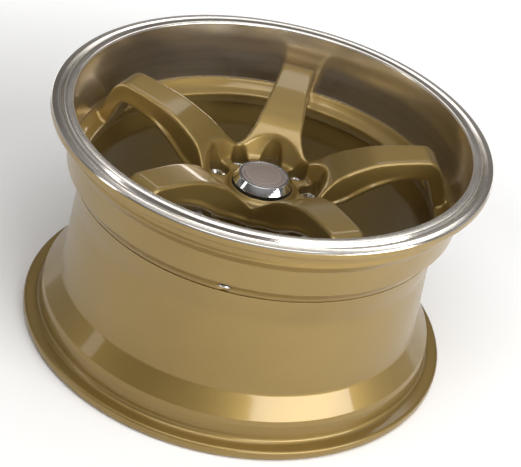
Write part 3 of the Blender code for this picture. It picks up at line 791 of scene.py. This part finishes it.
# %% Finish helpers
class Finish:
    def __init__(self, name, metallic, coat=0.0, coat_roughness=0.1, specular=0.5):
        self.material = bpy.data.materials.new(name)
        self.material.use_nodes = True
        self.tree = self.material.node_tree
        self.shader = self.tree.nodes["Principled BSDF"]
        self.shader.inputs["Metallic"].default_value = metallic
        self.shader.inputs["Coat Weight"].default_value = coat
        self.shader.inputs["Coat Roughness"].default_value = coat_roughness
        self.shader.inputs["Specular IOR Level"].default_value = specular

    def effect(self, group, **values):
        node = put(self.tree, "ShaderNodeGroup", node_tree=group)
        for label, value in values.items():
            node.inputs[label.replace("_", " ")].default_value = value
        return node.outputs

    def ranged(self, fac, low, high, start=0.3, end=0.7):
        node = put(self.tree, "ShaderNodeMapRange")
        self.tree.links.new(fac, node.inputs["Value"])
        numbers = {"From Min": start, "From Max": end, "To Min": low, "To Max": high}
        for label, value in numbers.items():
            node.inputs[label].default_value = value
        return node.outputs["Result"]

    def shaded(self, fac, first, second):
        node = put(self.tree, "ShaderNodeMix", data_type="RGBA")
        self.tree.links.new(fac, node.inputs["Factor"])
        for socket, colour in ((node.inputs[6], first), (node.inputs[7], second)):
            if isinstance(colour, tuple):
                socket.default_value = (*colour, 1.0)
            else:
                self.tree.links.new(colour, socket)
        return node.outputs[2]

    def added(self, first, second):
        node = put(self.tree, "ShaderNodeMath", operation="ADD")
        self.tree.links.new(first, node.inputs[0])
        self.tree.links.new(second, node.inputs[1])
        return node.outputs[0]

    def colour(self, source):
        self.tree.links.new(source, self.shader.inputs["Base Color"])

    def roughness(self, source):
        self.tree.links.new(source, self.shader.inputs["Roughness"])

    def bump(self, height, distance):
        node = put(self.tree, "ShaderNodeBump")
        node.inputs["Distance"].default_value = distance
        self.tree.links.new(height, node.inputs["Height"])
        self.tree.links.new(node.outputs["Normal"], self.shader.inputs["Normal"])

    def on(self, *objects):
        for made in objects:
            made.data.materials.clear()
            made.data.materials.append(self.material)


print("finish helpers ready")

# %% [markdown]
# ### Satin gold
#
# The centre and the barrel are sprayed with a fine metallic gold under a soft clear coat.
# The flakes make tiny lighter and darker points, the coat adds a second, sharper gleam. The
# barrel shows the lathe's rings faintly through the paint; the forged centre doesn't.

# %% Gold paint
GOLD_LIGHT = (0.285, 0.192, 0.054)
GOLD_DEEP = (0.255, 0.167, 0.044)
GOLD_FLAKE = (0.400, 0.285, 0.105)


def gold(name, rings):
    """Satin gold paint, with the lathe's rings showing through by the amount given."""
    finish = Finish(name, metallic=0.74, coat=0.6, coat_roughness=0.08)
    paint = finish.effect(sprayed)
    smears = finish.effect(handled)
    turning = finish.effect(lathe, Ring_Scale=520.0)
    body = finish.shaded(finish.ranged(paint["Patch"], 0, 1), GOLD_DEEP, GOLD_LIGHT)
    flake = finish.ranged(paint["Flake"], 0, 0.55, start=0.55, end=0.8)
    finish.colour(finish.shaded(flake, body, GOLD_FLAKE))
    rough = finish.added(finish.ranged(smears["Smear"], 0.40, 0.45),
                         finish.ranged(paint["Flake"], 0.0, 0.05))
    finish.roughness(rough)
    peel = finish.ranged(paint["Peel"], 0, 0.5, start=0, end=1)
    finish.bump(finish.added(peel, finish.ranged(turning["Rings"], 0, rings, 0, 1)), 0.00006)
    return finish


gold_centre = gold("satin_gold_centre", rings=0.0)
gold_centre.on(centre)
gold_barrel = gold("satin_gold_barrel", rings=0.9)
gold_barrel.on(inner_rim)
print("gold on centre and barrel")

# %% [markdown]
# ### Diamond-cut lip
#
# The lip is cut with a diamond tool and lacquered, and only its front is bare: the back of
# the rim is gold like the barrel. The rim therefore gets two material slots, and each face
# chooses by where it sits. The bare metal is faintly warm, and its rings scatter the light
# round the wheel.

# %% Polished lip
lip = Finish("diamond_cut_lip", metallic=0.97, coat=0.5, coat_roughness=0.06)
turning = lip.effect(lathe, Ring_Scale=1500.0, Band_Scale=90.0)
smears = lip.effect(handled)
bare = lip.shaded(lip.ranged(turning["Bands"], 0, 1), (0.760, 0.715, 0.650), (0.860, 0.820, 0.760))
lip.colour(lip.shaded(lip.ranged(smears["Smear"], 0, 0.25), bare, (0.66, 0.61, 0.54)))
lip.roughness(lip.added(lip.ranged(turning["Rings"], 0.12, 0.20),
                        lip.ranged(smears["Smear"], 0.0, 0.05)))
lip.bump(lip.ranged(turning["Rings"], 0, 1, 0, 1), 0.000012)
lip.on(outer_rim)
outer_rim.data.materials.append(gold_barrel.material)

PAINT_FROM = (FACE - 0.2) * MM
for face in outer_rim.data.polygons:
    middle = face.center
    radius = middle.xy.length
    front = middle.z > PAINT_FROM or (radius < BEAD_R * MM - 0.004 and radius < LIP_TOP_R * MM
                                      and face.normal.xy.dot(middle.xy) < 0)
    face.material_index = 0 if front else 1
print("bare faces", sum(f.material_index == 0 for f in outer_rim.data.polygons))

# %% [markdown]
# ### Cap, seats, valve and rubber
#
# The cap is plated, so it is nearly a mirror with a few hairlines. Its plate is a
# warm grey anodised disc. The seats are plain turned steel. The valve is nickel, brass and
# black rubber and plastic, all with their own grain.

# %% Small finishes
def metal(name, dark, light, rough, ring_scale):
    """Bare or plated metal with turning rings and a few smears."""
    finish = Finish(name, metallic=1.0)
    turning = finish.effect(lathe, Ring_Scale=ring_scale, Band_Scale=ring_scale / 6)
    smears = finish.effect(handled)
    finish.colour(finish.shaded(finish.ranged(turning["Bands"], 0, 1), dark, light))
    finish.roughness(finish.added(finish.ranged(turning["Rings"], *rough),
                                  finish.ranged(smears["Smear"], 0.0, 0.04)))
    finish.bump(finish.ranged(turning["Rings"], 0, 1, 0, 1), 0.00001)
    return finish


def moulded(name, dark, light, rough, grain):
    """Rubber or plastic with a fine moulded grain."""
    finish = Finish(name, metallic=0.0, specular=0.4)
    grains = finish.effect(handled, Speck_Scale=grain)
    finish.colour(finish.shaded(finish.ranged(grains["Smear"], 0, 1), dark, light))
    finish.roughness(finish.ranged(grains["Specks"], *rough))
    finish.bump(finish.ranged(grains["Specks"], 0, 1, 0, 1), 0.00005)
    return finish


nodes = frame["nodes"]
metal("plated_cap", (0.74, 0.75, 0.77), (0.84, 0.85, 0.87), (0.05, 0.11), 2200.0).on(cap)
metal("knurled_rim", (0.10, 0.10, 0.10), (0.30, 0.29, 0.28), (0.20, 0.34), 1800.0).on(knurl)
metal("anodised_plate", (0.30, 0.25, 0.225), (0.36, 0.305, 0.275), (0.30, 0.42), 2600.0).on(badge)
metal("turned_seat", (0.60, 0.60, 0.60), (0.82, 0.82, 0.81), (0.14, 0.26), 1900.0).on(
    *[o for o in SCENE.objects if o.name.startswith("nut_seat")])
metal("nickel", (0.58, 0.56, 0.52), (0.74, 0.72, 0.67), (0.18, 0.30), 3000.0).on(
    stem, nut, nodes["valve_washer"], nodes["valve_core_pin"], nodes["valve_core_spring"])
metal("brass", (0.50, 0.34, 0.12), (0.70, 0.50, 0.20), (0.22, 0.34), 3000.0).on(nodes["valve_core"])
metal("spring_steel", (0.30, 0.30, 0.31), (0.45, 0.45, 0.46), (0.25, 0.40), 2400.0).on(
    nodes["cap_snap_ring"])
moulded("seal_rubber", (0.016, 0.016, 0.016), (0.03, 0.03, 0.03), (0.55, 0.75), 1500.0).on(
    nodes["cap_gasket"], nodes["valve_seal_outer"], nodes["valve_seal_inner"],
    nodes["dust_cap_seal"])
moulded("black_plastic", (0.020, 0.020, 0.021), (0.035, 0.035, 0.036), (0.38, 0.52), 2400.0).on(dust_cap)
print(len(bpy.data.materials), "materials")

# %% [markdown]
# ## Studio
#
# One large softbox hangs overhead and fills the dish. A second stands low at the front
# right, and its gleam is what whitens the barrel's cone. A third, behind the wheel, draws
# the bright band on the near flange, and a narrow one edges the left side. The room has a
# dark band a third of the way up, so that the flange and the bevels keep deep tones between
# the gleams. The paper has a painted glow: it emits light that rises with its distance from
# the wheel, so the paper far away is lighter than the paper that the barrel mirrors.

# %% Floor, lights and room
# painted glow of the paper: its emission strength, and the distances from the wheel's axis over which it
# rises from nothing to full
PAPER_PAINTED_GLOW = 0.6
PAINTED_GLOW_REACH = (0.50, 1.15)
ROOM_BANDS = ((0.25, (0.42, 0.41, 0.40)), (0.42, (0.10, 0.09, 0.08)), (0.58, (0.12, 0.105, 0.095)))

floor_shape = bmesh.new()
bmesh.ops.create_grid(floor_shape, x_segments=1, y_segments=1, size=6.0)
floor = new_object("studio_floor", floor_shape)
paper = Finish("pale_paper_painted_glow", metallic=0.0, specular=0.2)
fibres = paper.effect(handled, Smear_Scale=3.0, Speck_Scale=900.0)
paper.colour(paper.shaded(paper.ranged(fibres["Smear"], 0, 1), (0.93, 0.93, 0.93), (0.95, 0.95, 0.95)))
paper.roughness(paper.ranged(fibres["Specks"], 0.85, 0.95))
# painted glow: the paper emits white light that grows with distance from the wheel's axis, though the
# paper is no lamp
from_wheel = put(paper.tree, "ShaderNodeVectorMath", operation="LENGTH")
paper.tree.links.new(put(paper.tree, "ShaderNodeTexCoord").outputs["Object"], from_wheel.inputs[0])
paper.shader.inputs["Emission Color"].default_value = (1, 1, 1, 1)
painted_glow = paper.ranged(from_wheel.outputs["Value"], 0.0, PAPER_PAINTED_GLOW, *PAINTED_GLOW_REACH)
paper.tree.links.new(painted_glow, paper.shader.inputs["Emission Strength"])
paper.on(floor)


def softbox(name, at, aim, size, watts):
    """A rectangular area light that stands at one point and faces another."""
    data = bpy.data.lights.new(name, "AREA")
    data.shape = "RECTANGLE"
    data.size, data.size_y = size
    data.energy = watts
    made = bpy.data.objects.new(name, data)
    made.location = at
    made.rotation_euler = (Vector(at) - Vector(aim)).to_track_quat("Z", "Y").to_euler()
    SCENE.collection.objects.link(made)
    return made


softbox("softbox_over", (0.1, -0.70, 2.1), (0, 0, 0.15), (1.6, 1.0), 17)
softbox("softbox_front", (1.72, -1.36, 1.22), (0.1, -0.2, 0.05), (2.6, 0.7), 54)
softbox("softbox_back", (0.0, 2.2, 2.25), (0, -0.2, 0.27), (1.5, 0.55), 6.5)
softbox("softbox_left", (-1.7, -0.6, 0.9), (0, 0, 0.15), (0.25, 1.2), 2.5)

room = bpy.data.worlds.new("room")
room.use_nodes = True
SCENE.world = room
tree = room.node_tree
sky = tree.nodes["Background"]
upness = put(tree, "ShaderNodeSeparateXYZ")
ramp = put(tree, "ShaderNodeValToRGB")
tree.links.new(put(tree, "ShaderNodeTexCoord").outputs["Generated"], upness.inputs[0])
tree.links.new(upness.outputs["Z"], ramp.inputs["Fac"])
tree.links.new(ramp.outputs["Color"], sky.inputs["Color"])
ramp.color_ramp.elements[0].position = 0.0
ramp.color_ramp.elements[0].color = (0.48, 0.47, 0.46, 1)
ramp.color_ramp.elements[1].position = 0.88
ramp.color_ramp.elements[1].color = (0.70, 0.70, 0.70, 1)
for height, shade in ROOM_BANDS:
    ramp.color_ramp.elements.new(height).color = (*shade, 1)
sky.inputs["Strength"].default_value = 0.9
SCENE.view_settings.view_transform = "Standard"
print("studio lit")
